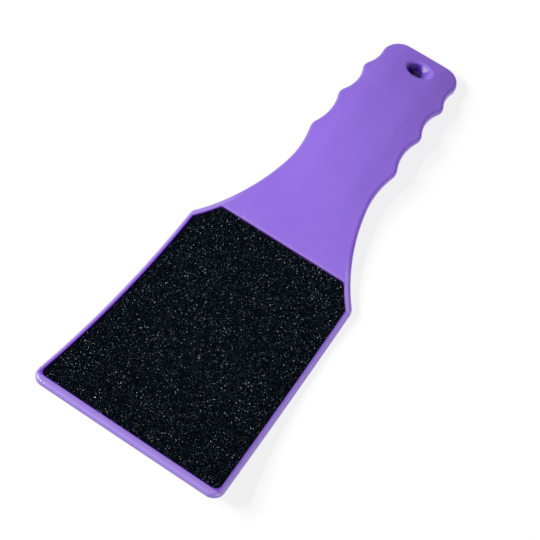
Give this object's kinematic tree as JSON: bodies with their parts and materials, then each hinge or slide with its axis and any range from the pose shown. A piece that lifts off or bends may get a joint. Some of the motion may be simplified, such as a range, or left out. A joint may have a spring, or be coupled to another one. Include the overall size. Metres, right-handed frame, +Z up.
{
  "type": "foot file",
  "caption": "Paddle-shaped foot file: a bowed, flaring blade with a thin raised rim and an abrasive sheet on each face, on an arched finger-grooved grip with an oval-mouthed hanging hole.",
  "frame": {"origin": "middle of the bounding box at the level of the table that the file lies on", "axes": "+Z up, +Y from the blade towards the hanging end of the grip, +X across the file; coarse sheet on top"},
  "size_m": [0.096, 0.23, 0.0151],
  "materials": {
    "moulded_plastic": "glossy purple injection moulding",
    "adhesive": "pale pressure-sensitive adhesive",
    "backing": "dark cloth backing",
    "coarse_grit": "coarse black mineral grit bonded in resin, glittering",
    "fine_grit": "fine black mineral grit bonded in resin"
  },
  "bodies": {
    "root": {"handle_body": "moulded_plastic", "coarse_adhesive_film": "adhesive", "coarse_backing_sheet": "backing", "coarse_grit_layer": "coarse_grit", "fine_adhesive_film": "adhesive", "fine_backing_sheet": "backing", "fine_grit_layer": "fine_grit"}
  },
  "joints": []
}
